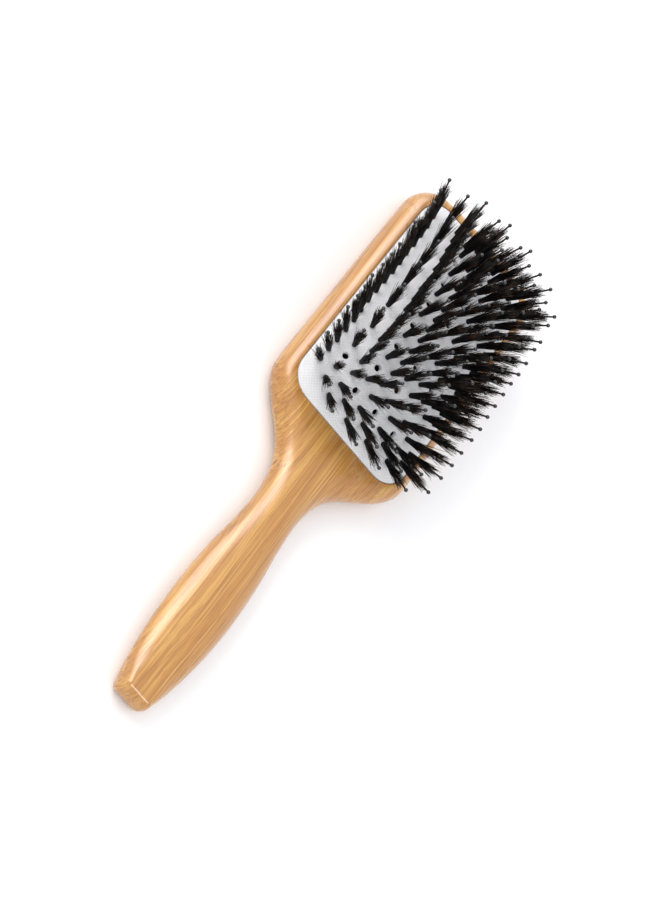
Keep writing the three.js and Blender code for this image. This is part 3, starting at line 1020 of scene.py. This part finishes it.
def boarBristle(look):
    material = bpy.data.materials.new("boarBristle")
    material.use_nodes = True
    tree = material.node_tree
    shader = tree.nodes["Principled BSDF"]
    point = addNode(tree, "ShaderNodeTexCoord").outputs["Object"]
    along = addNode(tree, "ShaderNodeAttribute", attribute_name="alongBristle").outputs["Fac"]
    tone = addNode(tree, "ShaderNodeAttribute", attribute_name="bristleTone").outputs["Fac"]
    mottle = useGroup(tree, softMottle, {"Point": point, "Patches": 400.0, "Grain": 4000.0})
    lines = useGroup(tree, fibreLines, {"Point": point, "Across": 5200.0, "Along": 2600.0, "Sparseness": 0.5})
    tip = blendColours(tree, ramp(tree, tone, 0.6, 1.0), look["tipDark"], look["tipBrown"])
    tip = blendColours(tree, calculate(tree, "MULTIPLY", mottle["Patch"], 0.4), tip, look["tipDull"])
    towardTip = calculate(tree, "MULTIPLY", ramp(tree, along, 0.4, 1.0), ramp(tree, tone, 0.8, 1.0))
    colour = blendColours(tree, towardTip, look["body"], tip)
    tree.links.new(colour, shader.inputs["Base Color"])
    tree.links.new(ramp(tree, lines["Height"], 0.2, 0.8, 0.36, 0.62), shader.inputs["Roughness"])
    bump = addNode(tree, "ShaderNodeBump", {"Height": lines["Height"], "Strength": 0.3, "Distance": 0.00003})
    tree.links.new(bump.outputs[0], shader.inputs["Normal"])
    shader.inputs["Specular IOR Level"].default_value = 0.12
    return material


# the ball-tipped pins
pinLook = {
    "length": 17.6,
    "thickness": 0.8,
    "ball": 1.5,
    "sides": 12,
    "below": 2.2,
    "black": (0.005, 0.005, 0.0055, 1),
    "scuffed": (0.010, 0.010, 0.010, 1),
}


def pinProfile(look):
    radius, ball = look["thickness"] / 2, look["ball"] / 2
    centre = look["length"] - ball
    profile = [(-look["below"], radius), (2.0, radius * 1.05), (centre - ball - 2.5, radius * 0.86)]
    meet = math.degrees(math.asin(radius * 0.86 / ball))
    for angle in np.linspace(meet, 176, 10):
        profile.append((centre - ball * math.cos(math.radians(angle)), ball * math.sin(math.radians(angle))))
    return profile


def blackNylon(look):
    material = bpy.data.materials.new("blackNylon")
    material.use_nodes = True
    tree = material.node_tree
    shader = tree.nodes["Principled BSDF"]
    point = addNode(tree, "ShaderNodeTexCoord").outputs["Object"]
    mottle = useGroup(tree, softMottle, {"Point": point, "Patches": 300.0, "Grain": 2200.0})
    colour = blendColours(tree, mottle["Patch"], look["black"], look["scuffed"])
    tree.links.new(colour, shader.inputs["Base Color"])
    tree.links.new(ramp(tree, mottle["Fine"], 0.2, 0.8, 0.22, 0.38), shader.inputs["Roughness"])
    bump = addNode(tree, "ShaderNodeBump", {"Height": mottle["Fine"], "Strength": 0.15, "Distance": 0.00002})
    tree.links.new(bump.outputs[0], shader.inputs["Normal"])
    return material


def addPinRun(name, run, look, material):
    points, faces, _ = lathed(run, pinProfile(look), look["sides"])
    piece = meshObject(name, points, faces, smooth=True)
    piece.data.materials.append(material)
    return piece


bristleMaterial, pinMaterial = boarBristle(bristleLook), blackNylon(pinLook)
bristleRandom = np.random.default_rng(bristleLook["seed"])
for ring, side in sorted({place["run"] for place in places if not place["vent"]}):
    run = [place for place in places if place["run"] == (ring, side) and not place["vent"]]
    label = ring.capitalize() + side.capitalize()
    tufts = addTuftRun("boarTufts" + label, run, bristleLook, bristleMaterial, bristleRandom)
    pins = addPinRun("nylonPins" + label, run, pinLook, pinMaterial)
    for piece, node, slot in ((tufts, "bristles", "boar_bristle"), (pins, "pins", "black_nylon")):
        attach(piece, ring + "_tufts")
        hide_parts(f"{node}_{ring}_{side}")
print("tufts and pins made")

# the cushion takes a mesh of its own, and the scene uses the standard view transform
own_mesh(cushion)

scene = bpy.context.scene
scene.view_settings.view_transform = "Standard"
